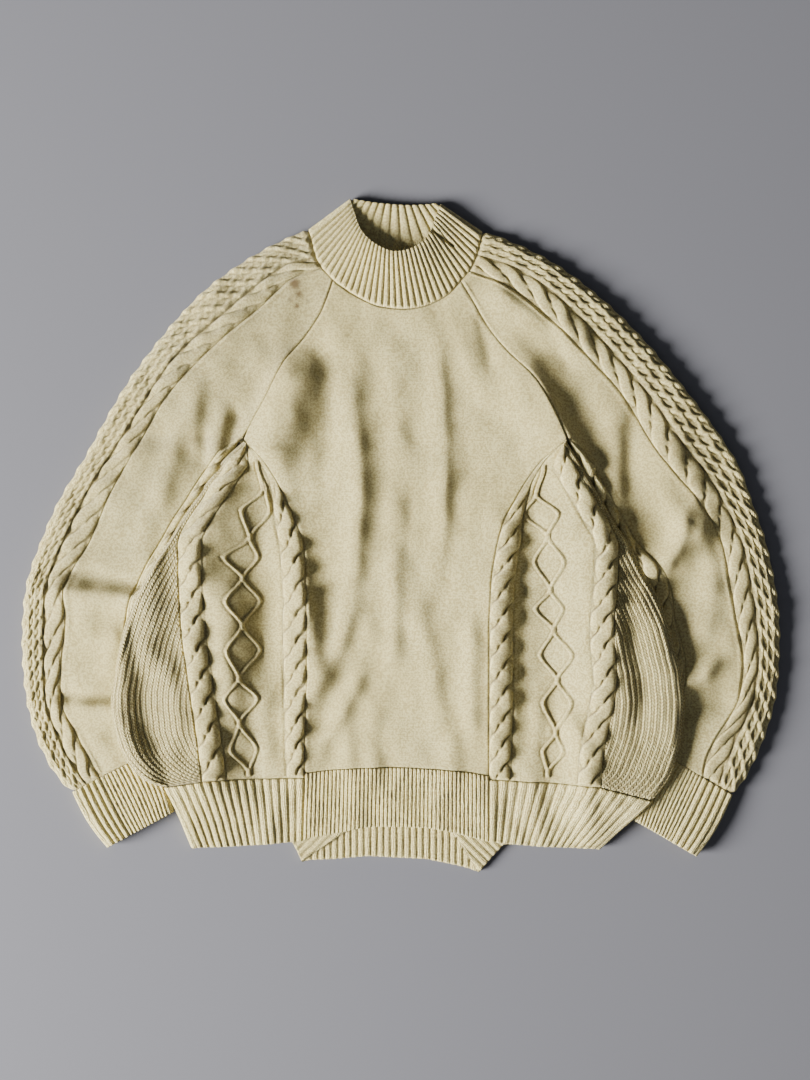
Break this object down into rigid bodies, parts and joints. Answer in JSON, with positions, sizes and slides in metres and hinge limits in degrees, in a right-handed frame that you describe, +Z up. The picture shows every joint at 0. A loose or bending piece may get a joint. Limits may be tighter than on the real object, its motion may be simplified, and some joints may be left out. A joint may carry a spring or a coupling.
{
  "type": "cable knit sweater laid flat",
  "caption": "Mock-neck raglan pullover laid flat, with balloon sleeves, rope, diamond and linked cables, ribbed gussets, cuffs and hems.",
  "frame": {"origin": "on the surface the garment lies on, under the middle of its laid-out outline", "axes": "+X across the garment from the left cuff in view to the right one, +Y up the garment towards the neck, +Z up, out of the front"},
  "size_m": [0.7576, 0.675, 0.0246],
  "materials": {
    "plain_knit": "matte cream cotton stocking stitch",
    "cable_knit": "matte cream cotton cable knit",
    "rib_knit": "matte cream cotton rib knit"
  },
  "bodies": {
    "root": {"front_center": "plain_knit", "back": "plain_knit", "sleeve_front_left": "plain_knit", "sleeve_front_right": "plain_knit", "sleeve_back_left": "plain_knit", "sleeve_back_right": "plain_knit", "side_front_left": "cable_knit", "side_front_right": "cable_knit", "sleeve_band_left": "cable_knit", "sleeve_band_right": "cable_knit", "sleeve_underarm_left": "cable_knit", "sleeve_underarm_right": "cable_knit", "collar": "rib_knit", "hem_front_center": "rib_knit", "hem_side_left": "rib_knit", "hem_side_right": "rib_knit", "hem_back": "rib_knit", "cuff_left": "rib_knit", "cuff_right": "rib_knit", "gusset_left": "rib_knit", "gusset_right": "rib_knit"}
  },
  "joints": []
}
